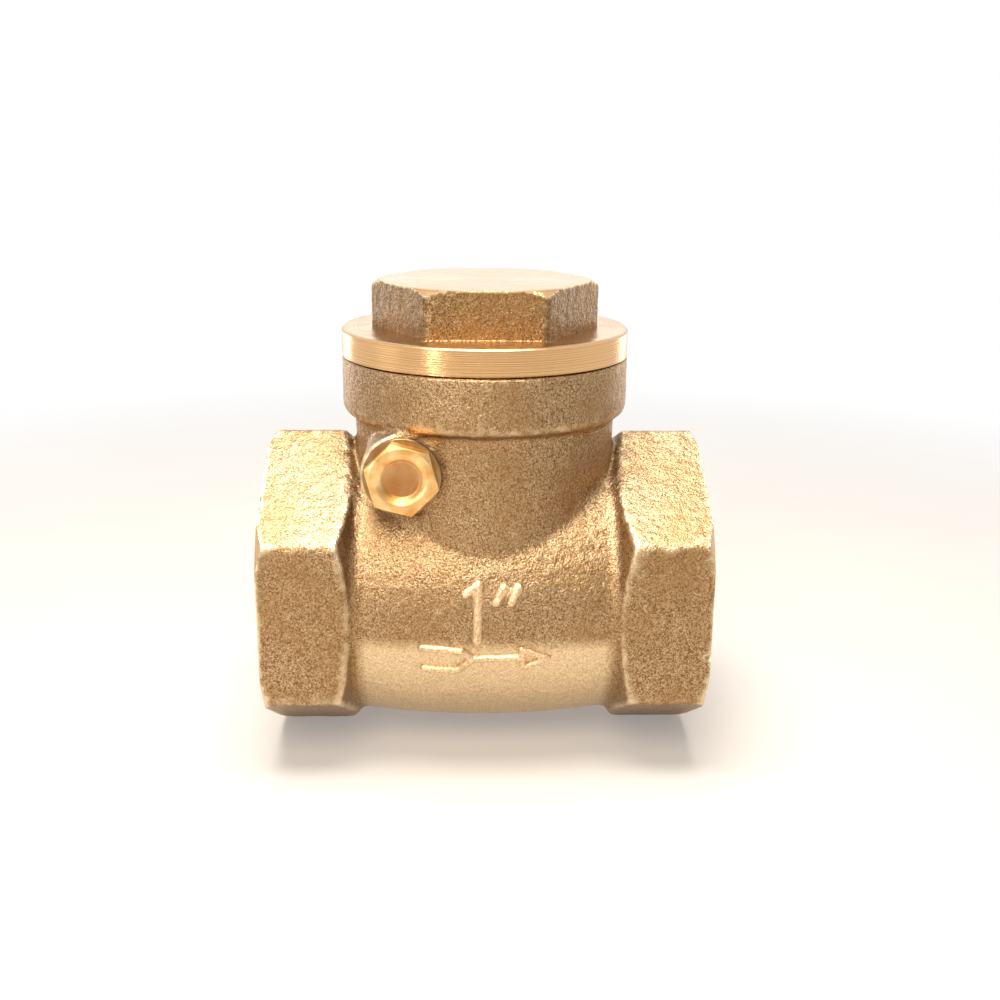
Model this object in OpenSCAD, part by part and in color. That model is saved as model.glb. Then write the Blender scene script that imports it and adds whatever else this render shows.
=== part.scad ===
// Threaded brass swing check valve.
// The inlet mouth is centred on the origin, the flow runs along +X, the cap stands up along +Z
// and the hinge pin plug looks along -Y. All sizes are in millimetres.

/* [End hexagons] */
// Length from the inlet mouth to the outlet mouth
body_length = 62; // [60:0.5:66]
// Width of each end hexagon across its flats
end_flats = 40; // [39.5:0.25:42]
// Rounding of the cast corners of the end hexagons
end_corner = 1.2; // [0.6:0.1:2]
// Length of a flat face, from the mouth to the shoulder
end_flat_length = 12.4; // [11.6:0.1:13]
// Length by which the shoulder leans back between the flats and the corners
shoulder_lean = 1.5; // [0.5:0.1:2]
// Length of the curved root between the shoulder and the barrel
shoulder_root = 1.5; // [0.8:0.1:1.8]
// Radius of the turned mouth face
mouth_face_radius = 21.3; // [20.4:0.1:22]
// Depth of the turned chamfer at the corners of the mouth face
mouth_face_chamfer = 1.05; // [0.5:0.05:1.6]

/* [Pipe threads] */
// Radius at the root of the pipe threads
pipe_thread_radius = 16.62; // [15.6:0.01:17.2]
// Depth of each threaded socket
pipe_thread_depth = 13.5; // [12.5:0.25:14]
// Chamfer at the mouth of each socket
pipe_thread_chamfer = 0.4; // [0.2:0.05:0.45]

/* [Barrel] */
// Outer radius of the barrel beside the hexagons
barrel_end_radius = 19.1; // [18.6:0.1:19.6]
// Height of the barrel's bulge at its middle
barrel_bulge = 1.2; // [0.4:0.1:1.8]
// Radius of the flow chamber
chamber_radius = 16.2; // [15.9:0.1:16.6]
// Thickness of the seat wall and of the outlet shoulder
web_thickness = 2; // [1.5:0.1:2.5]
// Radius of the opening between the chamber and the outlet socket
outlet_port_radius = 14.8; // [14.4:0.1:15.2]

/* [Neck] */
// Outer radius of the neck at the height of the flow axis
neck_foot_radius = 17.64; // [17.4:0.02:18]
// Outer radius of the neck under the ring
neck_top_radius = 18.7; // [18.4:0.1:19.2]
// Inner radius of the neck
neck_bore_radius = 15.2; // [14.9:0.1:15.4]
// Height of the face that the cap closes on, above the flow axis
joint_height = 34.2; // [33.6:0.1:36]
// Outer radius of the cast ring at the top of the neck
ring_radius = 20.35; // [20:0.05:21]
// Height of the cast ring
ring_height = 8; // [7:0.1:8.4]
// Rounding of the lower edge of the ring
ring_edge = 1.3; // [0.5:0.1:1.6]
// Root radius of the thread that holds the cap
cap_thread_radius = 16.6; // [16.3:0.1:17]
// Chamfer on the edges that meet at the joint
joint_chamfer = 0.3; // [0.1:0.05:0.5]

/* [Seat] */
// Lean of the seat, by which gravity holds the disc shut
seat_lean = 12; // [10:0.5:13]
// Radius of the port through the seat
port_radius = 11; // [10:0.1:11.3]
// Outer radius of the raised seat ring
seat_ring_radius = 12.8; // [12.5:0.1:13]
// Distance of the seat's centre from the seat wall, along the flow
seat_rise = 3.57; // [3.4:0.01:3.8]

/* [Hinge] */
// Height of the hinge pin above the flow axis
pin_height = 20.6; // [20.3:0.1:21]
// Radius of the hinge pin
pin_radius = 1.5; // [1.2:0.05:1.6]
// Length of the hinge pin
pin_length = 22.6; // [21.6:0.1:23]
// Outer radius of the arm's eye
eye_radius = 2.8; // [2.4:0.05:3]
// Width of the arm's eye
eye_width = 10; // [8:0.25:10.5]
// Outer radius of the boss that the plug closes
plug_boss_radius = 5.7; // [5.5:0.1:6]
// Distance of the plug's seat from the middle of the valve
plug_seat_reach = 16.9; // [16.6:0.1:17.2]
// Distance of the blank rear boss's face from the middle of the valve
rear_boss_reach = 15.8; // [15.4:0.1:16.6]
// Radius of the bosses inside the neck that carry the pin
lug_radius = 3.4; // [3:0.1:3.8]

/* [Plug] */
// Root radius of the plug's thread
plug_thread_radius = 3; // [2.6:0.05:3.4]
// Length of the plug's threaded shank
plug_shank_length = 5.6; // [5:0.1:5.8]
// Width of the plug's hexagon across its flats
plug_flats = 8.9; // [8:0.1:9]
// Height of the plug's hexagon
plug_head_height = 1.9; // [1.4:0.1:2.4]
// Turn of the plug's hexagon as it was left when tightened
plug_turn = 45; // [0:1:59]
// Radius of the plug's collar
plug_collar_radius = 5.25; // [5.1:0.05:5.4]
// Thickness of the plug's collar
plug_collar_thickness = 0.5; // [0.4:0.05:0.8]
// Radius of the dish in the plug's face, at its rim
plug_dish_radius = 3.4; // [2.8:0.1:3.8]
// Radius of the flat floor of the dish
plug_dish_floor = 2.5; // [1.5:0.1:2.7]
// Depth of the dish
plug_dish_depth = 0.7; // [0.3:0.05:1]
// Thickness of the plug's sealing washer
plug_seal_thickness = 0.5; // [0.3:0.05:0.8]

/* [Cap] */
// Distance by which the turned flange stands in from the cast ring
flange_inset = 0.05; // [0:0.05:0.4]
// Height of the turned flange
flange_height = 4; // [3.4:0.1:5]
// Width of the cap's hexagon across its flats
cap_flats = 28.2; // [27:0.1:30]
// Height of the cap's hexagon
cap_hex_height = 6.6; // [6:0.1:8]
// Rounding of the corners of the cap's hexagon
cap_corner = 1; // [0.5:0.1:2]
// Radius of the turned top face
cap_top_radius = 14.7; // [14.4:0.1:15]
// Slope of the turned chamfer round the top face
cap_chamfer_slope = 30; // [20:1:40]
// Length of the threaded skirt below the joint
skirt_length = 6.4; // [5.5:0.1:7]
// Wall of the threaded skirt
skirt_wall = 3.4; // [2.8:0.1:3.8]
// Metal left above the hollow
cap_roof = 3.6; // [3:0.1:4.5]
// Thickness of the cap's gasket
gasket_thickness = 1.2; // [0.8:0.1:1.6]
// Width of the cap's gasket
gasket_width = 1.9; // [1.4:0.1:2]

/* [Arm] */
// Distance of the pin's axis ahead of the seat
pin_ahead = 5; // [4.8:0.1:5.4]
// Radius of the boss round the disc's stud
arm_boss_radius = 5; // [4.6:0.1:5.4]
// Thickness of the arm's boss
arm_boss_thickness = 3; // [2.6:0.1:3.2]
// Width of the arm's strap beside the boss
strap_width = 7; // [5:0.25:8.5]
// Thickness of the arm's strap
strap_thickness = 2.4; // [1.8:0.1:2.6]

/* [Disc] */
// Radius of the brass disc
disc_radius = 12.6; // [12.3:0.1:12.7]
// Thickness of the disc at its rim
disc_rim_thickness = 1.3; // [1:0.1:1.4]
// Thickness of the disc at its hub
disc_hub_thickness = 2; // [1.8:0.05:2.1]
// Radius of the rubber facing
facing_radius = 12.4; // [12.2:0.1:12.5]
// Thickness of the rubber facing
facing_thickness = 2; // [1.8:0.05:2.1]
// Radius of the washer that holds the facing
seal_washer_radius = 8.8; // [7:0.1:9.4]
// Thickness of the washer that holds the facing
seal_washer_thickness = 1.2; // [0.8:0.1:1.5]
// Radius of the screw's shank
stud_radius = 2.5; // [2:0.05:2.7]
// Radius of the screw's head
screw_head_radius = 4.2; // [3.6:0.1:4.8]
// Height of the screw's head
screw_head_height = 2; // [1.5:0.1:2.4]
// Width of the slot in the screw's head
slot_width = 1; // [0.8:0.1:1.4]
// Depth of the slot in the screw's head
slot_depth = 0.9; // [0.5:0.1:1.1]
// Width of the nut across its flats
nut_flats = 8; // [7.5:0.1:8.4]
// Thickness of the nut
nut_thickness = 3; // [2.4:0.1:3.2]
// Radius of the washer under the nut
nut_washer_radius = 4.6; // [4.3:0.1:4.9]
// Thickness of the washer under the nut
nut_washer_thickness = 0.8; // [0.6:0.1:1]
// Length of screw that shows past the nut
stud_tail = 0.8; // [0.4:0.1:1]

/* [Clearances] */
// Gap round the pin where the body holds it
pin_fit = 0.03; // [0.01:0.01:0.05]
// Gap round the pin in the arm's eye
eye_fit = 0.06; // [0.03:0.01:0.1]
// Gap round the stud in the arm's boss
stud_fit = 0.08; // [0.03:0.01:0.1]
// Gap between threads that are screwed together
thread_fit = 0.08; // [0.03:0.01:0.1]
// Gap round parts that are clamped on the stud
clamp_fit = 0.02; // [0.02:0.01:0.1]
// Gap between the arm's eye and each lug
side_gap = 0.3; // [0.1:0.05:0.5]
// Gap between moving faces along the stud
stack_gap = 0.2; // [0.1:0.05:0.25]
// Gap round the cap's gasket
gasket_fit = 0.1; // [0.02:0.02:0.15]
// Gap between the end of the pin and the plug
pin_end_gap = 0.3; // [0.1:0.05:0.5]

/* [Hidden] */

cast_brass = "#c9a06a";
turned_brass = "#dcc089";
polished_brass = "#d8ae52";
rubber = "#26241f";
fibre = "#8c5a3a";

// These only set how finely a preview draws its circles. The barrel's arc is a short piece of a large one.
$fn = 96;
sweep_sides = 720;
// Angle between neighbouring corners of a hexagon, and from a corner to the middle of the next flat.
hexagon_step = 60;
corner_angle = hexagon_step / 2;
// Length by which a cut runs past what it cuts.
overcut = 1;
// Length by which joined solids run into each other.
bond = 1;

middle = body_length / 2;
end_point_radius = end_flats / 2 / cos(corner_angle);
web_start = pipe_thread_depth;
chamber_start = web_start + web_thickness;
shoulder_end = end_flat_length + shoulder_root;
barrel_half = middle - shoulder_end;
barrel_mid_radius = barrel_end_radius + barrel_bulge;
barrel_sweep = (barrel_half ^ 2 + barrel_bulge ^ 2) / (2 * barrel_bulge);

// The shoulder's root is a quarter of an ellipse that meets the barrel along the flow.
shoulder_steps = 6;
function shoulder_point(t) = [
    end_flats / 2 - (end_flats / 2 - barrel_end_radius) * sin(90 * t),
    end_flat_length + shoulder_root * (1 - cos(90 * t))];

ring_foot = joint_height - ring_height;
gasket_seat = joint_height - gasket_thickness;
skirt_radius = cap_thread_radius - thread_fit;
skirt_bottom = joint_height - skirt_length;
cap_thread_bottom = skirt_bottom - overcut;
gasket_inner = cap_thread_radius + gasket_fit;
gasket_outer = gasket_inner + gasket_width;
flange_radius = ring_radius - flange_inset;
flange_top = joint_height + flange_height;
cap_top = flange_top + cap_hex_height;
cap_point_radius = cap_flats / 2 / cos(corner_angle);
cap_chamfer = (cap_point_radius - cap_top_radius) * tan(cap_chamfer_slope);
cap_hollow_radius = skirt_radius - skirt_wall;
// Lead-in chamfer at the foot of the cap's skirt.
skirt_lead = 0.5;

// The seat's centre lies on the flow axis, and the pin stands in the seat's own plane of symmetry.
seat_x = chamber_start + seat_rise;
pin_drop = (pin_height - pin_ahead * sin(seat_lean)) / cos(seat_lean);
pin_x = seat_x + pin_ahead * cos(seat_lean) - pin_drop * sin(seat_lean);
seat_root = chamber_start - web_thickness / 2;
port_run = seat_x + chamber_radius - web_start;
lug_face = eye_width / 2 + side_gap;
boss_root = lug_face + bond;
plug_top = plug_seat_reach + plug_seal_thickness + plug_collar_thickness + plug_head_height;
pin_front = plug_seat_reach - plug_shank_length - pin_end_gap;
pin_rear = pin_length - pin_front;
lug_root = pin_front + bond;
// Growth of the dish's radius for each millimetre of its depth.
plug_dish_flare = (plug_dish_radius - plug_dish_floor) / plug_dish_depth;

// Stations along the disc's stud, counted from the seat's face towards the outlet.
disc_back = facing_thickness + disc_hub_thickness;
arm_face = disc_back + stack_gap;
arm_back = arm_face + arm_boss_thickness;
nut_washer_face = arm_back + stack_gap / 2;
nut_face = nut_washer_face + nut_washer_thickness;
stud_end = nut_face + nut_thickness + stud_tail;

// Turns a shape that stands along +Z so that it lies along the flow.
module along_flow() rotate([0, 90, 0]) children();

// Places a shape drawn round the seat's own axis, with that axis along +X and its centre at the origin.
module on_seat() translate([seat_x, 0, 0]) rotate([0, -seat_lean, 0]) children();

// Lays a shape that stands along +Z on the hinge pin's axis, running from the valve's middle to the front.
module on_pin_front() translate([pin_x, 0, pin_height]) rotate([90, 0, 0]) children();

// Lays it on the same axis, running to the rear.
module on_pin_rear() translate([pin_x, 0, pin_height]) rotate([-90, 0, 0]) children();

// Mirrors a shape at the inlet end to the outlet end and keeps both.
module both_ends() {
    children();
    translate([body_length, 0, 0]) mirror([1, 0, 0]) children();
}

// Hexagon with rounded corners and a corner on the X axis.
module rounded_hexagon(flats, corner) {
    inset = (flats / 2 - corner) / cos(corner_angle);
    spread = [-corner_angle, corner_angle];
    polygon([for (i = [0:5], side = spread)
        let (a = hexagon_step * i, b = a + side)
        [inset * cos(a) + corner * cos(b), inset * sin(a) + corner * sin(b)]]);
    for (i = [0:5]) rotate(hexagon_step * i) translate([inset, 0]) circle(r = corner);
}

// A plain ring or disc that stands on z = 0.
module ring(outer, inner, height) {
    difference() {
        cylinder(r = outer, h = height);
        translate([0, 0, -overcut]) cylinder(r = inner, h = height + 2 * overcut);
    }
}

// Hexagonal end with a turned mouth face and a shoulder that runs down to the barrel.
module end_hexagon() {
    outside = end_point_radius + overcut;
    chamfer_run = mouth_face_chamfer * (outside - mouth_face_radius)
        / (end_point_radius - mouth_face_radius);
    lean_run = shoulder_lean * (outside - end_flats / 2) / (end_point_radius - end_flats / 2);
    intersection() {
        along_flow() linear_extrude(shoulder_end) rounded_hexagon(end_flats, end_corner);
        along_flow() rotate_extrude() polygon([
            [0, 0],
            [mouth_face_radius, 0],
            [outside, chamfer_run],
            [outside, end_flat_length - lean_run],
            [end_flats / 2, end_flat_length],
            for (i = [1:shoulder_steps]) shoulder_point(i / shoulder_steps),
            [0, shoulder_end]]);
    }
}

// Barrel with a slight bulge, swept by one true arc.
module barrel() {
    translate([middle, 0, 0]) along_flow() rotate_extrude() intersection() {
        translate([barrel_mid_radius - barrel_sweep, 0]) circle(r = barrel_sweep, $fn = sweep_sides);
        translate([0, -barrel_half - bond]) square([barrel_mid_radius + overcut, 2 * (barrel_half + bond)]);
    }
}

// Tapered neck with the cast ring that the cap closes on.
module neck() {
    translate([middle, 0, 0]) {
        cylinder(r1 = neck_foot_radius, r2 = neck_top_radius, h = ring_foot);
        rotate_extrude() difference() {
            polygon([
                [0, ring_foot - bond],
                [neck_top_radius, ring_foot - bond],
                [ring_radius - ring_edge, ring_foot],
                [ring_radius, ring_foot],
                [ring_radius, joint_height - joint_chamfer],
                [ring_radius - joint_chamfer, joint_height],
                [0, joint_height]]);
            difference() {
                translate([ring_radius - ring_edge, ring_foot - overcut])
                    square([ring_edge + overcut, ring_edge + overcut]);
                translate([ring_radius - ring_edge, ring_foot + ring_edge]) circle(r = ring_edge);
            }
        }
    }
}

// Bosses on the outside of the neck, open at the front for the plug and blank at the rear.
module pin_bosses() {
    on_pin_front() translate([0, 0, boss_root])
        cylinder(r = plug_boss_radius, h = plug_seat_reach - boss_root);
    on_pin_rear() translate([0, 0, boss_root])
        cylinder(r = plug_boss_radius, h = rear_boss_reach - boss_root);
}

// Everything that is hollow before the seat ring and the lugs are added.
module body_hollows() {
    both_ends() along_flow() translate([0, 0, -overcut]) {
        cylinder(r = pipe_thread_radius, h = pipe_thread_depth + overcut);
        cylinder(r1 = pipe_thread_radius + pipe_thread_chamfer + overcut, r2 = pipe_thread_radius,
            h = pipe_thread_chamfer + overcut);
    }
    translate([chamber_start, 0, 0]) along_flow()
        cylinder(r = chamber_radius, h = body_length - 2 * chamber_start);
    translate([middle, 0, 0]) along_flow()
        cylinder(r = outlet_port_radius, h = middle - pipe_thread_depth + overcut);
    translate([middle, 0, 0]) {
        cylinder(r = neck_bore_radius, h = joint_height);
        translate([0, 0, cap_thread_bottom]) cylinder(r = cap_thread_radius, h = skirt_length + 2 * overcut);
        translate([0, 0, gasket_seat])
            cylinder(r = gasket_outer + gasket_fit, h = gasket_thickness + overcut);
    }
}

// Raised ring whose leaning face seats the disc.
module seat_ring() {
    intersection() {
        translate([seat_root, 0, 0]) along_flow() cylinder(r = chamber_radius, h = chamber_radius);
        on_seat() along_flow() translate([0, 0, -chamber_radius])
            cylinder(r = seat_ring_radius, h = chamber_radius);
    }
}

// Bosses inside the neck that carry the pin on either side of the arm's eye.
module pin_lugs() {
    on_pin_front() translate([0, 0, lug_face]) cylinder(r = lug_radius, h = lug_root - lug_face);
    on_pin_rear() translate([0, 0, lug_face]) cylinder(r = lug_radius, h = lug_root - lug_face);
}

// Tapped hole for the plug, reamed hole right across for the pin, and the plug's spot face.
module pin_holes() {
    on_pin_front() {
        translate([0, 0, -pin_rear - pin_end_gap])
            cylinder(r = pin_radius + pin_fit, h = pin_length + 2 * pin_end_gap);
        translate([0, 0, pin_front])
            cylinder(r = plug_thread_radius, h = plug_seat_reach - pin_front + overcut);
        translate([0, 0, plug_seat_reach]) cylinder(r = plug_boss_radius, h = plug_boss_radius);
    }
}

// One casting: hexagonal ends, barrel, neck and ring, with the seat and pin holes cut in it.
module body() {
    color(cast_brass) difference() {
        union() {
            difference() {
                union() {
                    both_ends() end_hexagon();
                    barrel();
                    neck();
                    pin_bosses();
                }
                body_hollows();
            }
            seat_ring();
            pin_lugs();
        }
        along_flow() translate([0, 0, web_start - overcut]) cylinder(r = port_radius, h = port_run);
        pin_holes();
    }
}

// Cap: chamfered hexagon, turned flange and hollow threaded skirt in one piece.
module cap() {
    color(turned_brass) translate([middle, 0, 0]) difference() {
        union() {
            intersection() {
                translate([0, 0, joint_height]) linear_extrude(cap_top - joint_height)
                    rounded_hexagon(cap_flats, cap_corner);
                rotate_extrude() polygon([
                    [0, joint_height],
                    [cap_point_radius + overcut, joint_height],
                    [cap_point_radius + overcut, cap_top - cap_chamfer - overcut * tan(cap_chamfer_slope)],
                    [cap_top_radius, cap_top],
                    [0, cap_top]]);
            }
            rotate_extrude() polygon([
                [0, skirt_bottom],
                [skirt_radius - skirt_lead, skirt_bottom],
                [skirt_radius, skirt_bottom + skirt_lead],
                [skirt_radius, joint_height],
                [flange_radius - joint_chamfer, joint_height],
                [flange_radius, joint_height + joint_chamfer],
                [flange_radius, flange_top - joint_chamfer],
                [flange_radius - joint_chamfer, flange_top],
                [0, flange_top]]);
        }
        rotate_extrude() polygon([
            [0, skirt_bottom - overcut],
            [cap_hollow_radius, skirt_bottom - overcut],
            [cap_hollow_radius, flange_top - joint_chamfer],
            [cap_hollow_radius - cap_roof, cap_top - cap_roof],
            [0, cap_top - cap_roof]]);
    }
}

// Flat gasket in a recess under the cap's flange.
module cap_gasket() {
    color(fibre) translate([middle, 0, gasket_seat]) ring(gasket_outer, gasket_inner, gasket_thickness);
}

// Plain pin, slid in through the plug's hole.
module hinge_pin() {
    color(polished_brass) on_pin_front() translate([0, 0, -pin_rear])
        cylinder(r = pin_radius, h = pin_length);
}

// Hexagonal plug with a collar and a dished face.
module pin_plug() {
    color(polished_brass) on_pin_front() difference() {
        union() {
            translate([0, 0, plug_seat_reach - plug_shank_length])
                cylinder(r = plug_thread_radius - thread_fit, h = plug_shank_length + bond);
            translate([0, 0, plug_seat_reach + plug_seal_thickness])
                cylinder(r = plug_collar_radius, h = plug_collar_thickness);
            translate([0, 0, plug_seat_reach + plug_seal_thickness]) rotate(plug_turn)
                cylinder(r = plug_flats / 2 / cos(corner_angle), h = plug_top - plug_seat_reach
                    - plug_seal_thickness, $fn = 6);
        }
        translate([0, 0, plug_top - plug_dish_depth])
            cylinder(r1 = plug_dish_floor, r2 = plug_dish_radius + overcut * plug_dish_flare,
                h = plug_dish_depth + overcut);
    }
}

// Thin washer that seals the plug.
module plug_seal() {
    color(fibre) on_pin_front() translate([0, 0, plug_seat_reach])
        ring(plug_collar_radius, plug_thread_radius, plug_seal_thickness);
}

// Arm: an eye on the pin, a tapered strap and a boss for the disc's stud.
module hinge_arm() {
    color(cast_brass) on_seat() difference() {
        union() {
            translate([pin_ahead, eye_width / 2, pin_drop]) rotate([90, 0, 0])
                cylinder(r = eye_radius, h = eye_width);
            along_flow() translate([0, 0, arm_face]) cylinder(r = arm_boss_radius, h = arm_boss_thickness);
            translate([arm_face, 0, 0]) rotate([90, 0, 90]) linear_extrude(strap_thickness)
                polygon([
                    [-strap_width / 2, 0],
                    [strap_width / 2, 0],
                    [eye_width / 2, pin_drop],
                    [-eye_width / 2, pin_drop]]);
        }
        along_flow() translate([0, 0, arm_face - overcut])
            cylinder(r = stud_radius + stud_fit, h = arm_boss_thickness + 2 * overcut);
        translate([pin_ahead, eye_width / 2 + overcut, pin_drop]) rotate([90, 0, 0])
            cylinder(r = pin_radius + eye_fit, h = eye_width + 2 * overcut);
    }
}

// Brass disc with a raised hub behind the rubber facing.
module disc() {
    color(turned_brass) on_seat() along_flow() rotate_extrude() polygon([
        [stud_radius + clamp_fit, facing_thickness],
        [disc_radius, facing_thickness],
        [disc_radius, facing_thickness + disc_rim_thickness],
        [arm_boss_radius + disc_rim_thickness, facing_thickness + disc_rim_thickness],
        [arm_boss_radius, disc_back],
        [stud_radius + clamp_fit, disc_back]]);
}

// Rubber facing that meets the seat.
module disc_facing() {
    color(rubber) on_seat() along_flow() ring(facing_radius, stud_radius + clamp_fit, facing_thickness);
}

// Washer that clamps the facing from the inlet side.
module seal_washer() {
    color(turned_brass) on_seat() along_flow() translate([0, 0, -seal_washer_thickness])
        ring(seal_washer_radius, stud_radius + clamp_fit, seal_washer_thickness);
}

// Slotted screw whose shank is the stud that the disc turns on.
module disc_screw() {
    color(turned_brass) on_seat() along_flow() difference() {
        union() {
            translate([0, 0, -seal_washer_thickness - screw_head_height])
                cylinder(r = screw_head_radius, h = screw_head_height);
            translate([0, 0, -seal_washer_thickness - bond])
                cylinder(r = stud_radius, h = stud_end + seal_washer_thickness + bond);
        }
        translate([-screw_head_radius - overcut, -slot_width / 2,
            -seal_washer_thickness - screw_head_height - overcut])
            cube([2 * (screw_head_radius + overcut), slot_width, slot_depth + overcut]);
    }
}

// Washer between the arm and the nut.
module nut_washer() {
    color(turned_brass) on_seat() along_flow() translate([0, 0, nut_washer_face])
        ring(nut_washer_radius, stud_radius + clamp_fit, nut_washer_thickness);
}

// Hexagonal nut on the end of the stud.
module disc_nut() {
    color(turned_brass) on_seat() along_flow() translate([0, 0, nut_face]) difference() {
        cylinder(r = nut_flats / 2 / cos(corner_angle), h = nut_thickness, $fn = 6);
        translate([0, 0, -overcut]) cylinder(r = stud_radius + clamp_fit, h = nut_thickness + 2 * overcut);
    }
}

body();
cap();
cap_gasket();
hinge_pin();
pin_plug();
plug_seal();
hinge_arm();
disc();
disc_facing();
seal_washer();
disc_screw();
nut_washer();
disc_nut();
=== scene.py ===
"""Dresses the threaded brass swing check valve and sets its studio.

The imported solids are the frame. Shapes are drawn in millimetres, in the valve's own axes: the inlet
mouth is centred on the origin, the flow runs along +X, the cap stands up along +Z and the hinge pin's
plug looks along -Y. Each finished piece is turned to metres when it is placed.
"""
import logging
import math
from dataclasses import dataclass
from enum import Enum
from functools import partial
from typing import Any, Callable, Iterable, Sequence

import bmesh
import bpy
from bmesh.types import BMEdge, BMesh, BMVert
from bpy.types import Material, NodeSocket, NodeTree, Object
from mathutils import Matrix, Vector, noise


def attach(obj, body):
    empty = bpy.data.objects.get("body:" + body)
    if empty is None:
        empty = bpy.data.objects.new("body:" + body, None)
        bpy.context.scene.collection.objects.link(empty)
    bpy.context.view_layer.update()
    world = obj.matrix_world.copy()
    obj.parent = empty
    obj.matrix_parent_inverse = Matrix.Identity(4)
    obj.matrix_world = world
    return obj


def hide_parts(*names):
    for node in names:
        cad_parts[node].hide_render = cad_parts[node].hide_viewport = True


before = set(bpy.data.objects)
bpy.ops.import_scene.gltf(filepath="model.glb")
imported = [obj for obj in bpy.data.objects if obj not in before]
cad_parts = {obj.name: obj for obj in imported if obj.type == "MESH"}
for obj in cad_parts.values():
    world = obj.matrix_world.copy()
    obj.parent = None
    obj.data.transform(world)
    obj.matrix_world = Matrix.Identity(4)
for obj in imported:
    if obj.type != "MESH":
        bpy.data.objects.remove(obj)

MM = 0.001
PIN = (19.803, 0.0, 20.6)
SEAT = (19.07, 0.0, 0.0)
CAP_X = 31.0
JOINT_Z = 34.2
TO_METRES = Matrix.Scale(MM, 4)
TO_MILLIMETRES = Matrix.Scale(1 / MM, 4)
ALONG_FLOW = Matrix(((0, 0, 1, 0), (1, 0, 0, 0), (0, 1, 0, 0), (0, 0, 0, 1)))
UNDER_CAP = Matrix.Translation((CAP_X, 0, 0))
ON_PLUG = Matrix.Translation(PIN) @ Matrix.Rotation(math.pi / 2, 4, "X")
BEHIND_PLUG = Matrix.Translation(PIN) @ Matrix.Rotation(-math.pi / 2, 4, "X")
ON_SEAT = Matrix.Translation(SEAT) @ Matrix.Rotation(math.radians(78.0), 4, "Y")
COLOURS = {"output": 2, "data_type": "RGBA"}
WHITE = (1.0, 1.0, 1.0, 1.0)
WEAR = "rubbed"
LOG = logging.getLogger("valve")

Outline = Sequence[tuple[float, float]]
Stroke = tuple[float, float, Outline]
Adder = Callable[..., Any]


class Solver(Enum):
    """How a boolean joins or cuts two closed meshes."""

    CUT = "DIFFERENCE"
    JOIN = "UNION"
    KEEP = "INTERSECT"


class Lathe(Enum):
    """The axis that a turned face was spun about: a point on it in millimetres, and its direction."""

    CAP = ((CAP_X, 0.0, 0.0), (0.0, 0.0, 1.0))
    FLOW = ((0.0, 0.0, 0.0), (1.0, 0.0, 0.0))
    PLUG = (PIN, (0.0, -1.0, 0.0))
    SEAT = (SEAT, (0.97815, 0.0, 0.20791))


def linear(hex_colour: str) -> tuple[float, float, float, float]:
    """Turns an sRGB hex colour to the linear values that a shader takes.

    Args:
        hex_colour: six hex digits, with or without a leading hash.

    Returns:
        Linear red, green and blue, with an alpha of 1.
    """
    digits = hex_colour.lstrip("#")
    channels = [int(digits[i:i + 2], 16) / 255 for i in (0, 2, 4)]
    red, green, blue = (c / 12.92 if c <= 0.04045 else ((c + 0.055) / 1.055) ** 2.4 for c in channels)
    return (red, green, blue, 1.0)


def per_metre(size_mm: float) -> float:
    """Returns the texture scale, for coordinates in metres, of a pattern whose grains are size_mm wide."""
    return 1 / (size_mm * MM)


def add_node(tree: NodeTree, kind: str, inputs: dict[int | str, Any] | None = None,
             output: int | str = 0, **settings: Any) -> NodeSocket | None:
    """Adds a shader node, sets it up and links it.

    Args:
        tree: the node tree to add to.
        kind: the node's type name, without its ShaderNode prefix.
        inputs: values for its input sockets, or output sockets to link to them.
        output: which of its outputs to return.
        settings: the node's own properties and their values.

    Returns:
        That output, or None where the node has none.
    """
    made = tree.nodes.new("ShaderNode" + kind)
    for name, value in settings.items():
        setattr(made, name, value)
    for key, value in (inputs or {}).items():
        if isinstance(value, NodeSocket):
            tree.links.new(value, made.inputs[key])
        else:
            made.inputs[key].default_value = value
    return made.outputs[output] if made.outputs else None


def new_material(name: str) -> tuple[Material, Adder]:
    """Makes an empty material.

    Args:
        name: the material's name.

    Returns:
        The material, and add_node for its tree.
    """
    material = bpy.data.materials.new(name)
    material.use_nodes = True
    material.node_tree.nodes.clear()
    return material, partial(add_node, material.node_tree)


def from_axis(add: Adder, where: NodeSocket, lathe: Lathe) -> tuple[Any, Any]:
    """Measures each point from a lathe's axis.

    Args:
        add: adds a node to the material.
        where: the object coordinates.
        lathe: the axis.

    Returns:
        The sockets of the distance from the axis and of the station along it.
    """
    centre, direction = lathe.value
    offset = add("VectorMath", {0: where, 1: Vector(centre) * MM}, operation="SUBTRACT")
    along = add("VectorMath", {0: offset, 1: direction}, 1, operation="DOT_PRODUCT")
    across = add("VectorMath", {0: offset, 1: direction}, operation="CROSS_PRODUCT")
    return add("VectorMath", {0: across}, 1, operation="LENGTH"), along


def show(add: Adder, inputs: dict[str, Any]) -> None:
    """Ends a material: its surface takes these inputs.

    Args:
        add: adds a node to the material.
        inputs: values or sockets for the surface.
    """
    add("OutputMaterial", {0: add("BsdfPrincipled", inputs)})


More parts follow.
